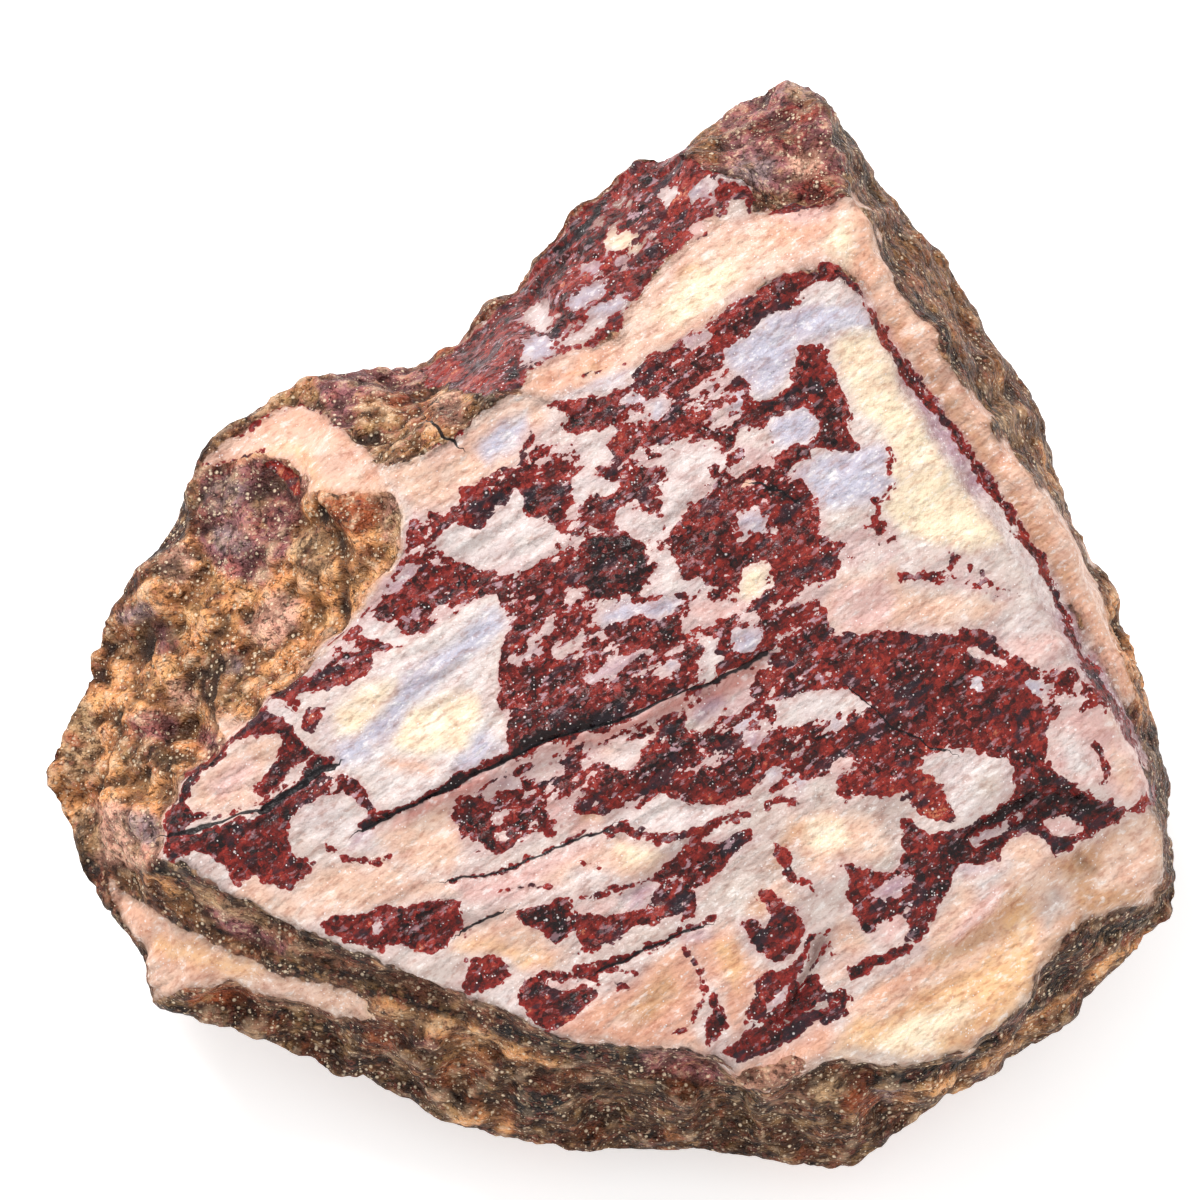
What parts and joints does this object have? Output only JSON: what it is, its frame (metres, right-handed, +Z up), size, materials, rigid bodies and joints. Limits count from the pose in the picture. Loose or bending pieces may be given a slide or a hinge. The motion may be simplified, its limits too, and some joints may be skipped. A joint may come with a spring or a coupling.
{
  "type": "rough jasper stone",
  "caption": "Broken wedge of red, cream and blue-grey patterned jasper with a brown weathered crust, lying on a small flat spot.",
  "frame": {"origin": "middle of the stone's box in plan, at the level of the surface that it rests on", "axes": "+X to the right along the stone's longest side, +Y from the low front rim towards the high tip, +Z up"},
  "size_m": [0.0696, 0.0624, 0.0328],
  "materials": {
    "stone": "fresh break with a fine crystalline glitter, red and cream, and a rough brown crust"
  },
  "bodies": {
    "root": {"stone": "stone"}
  },
  "joints": []
}
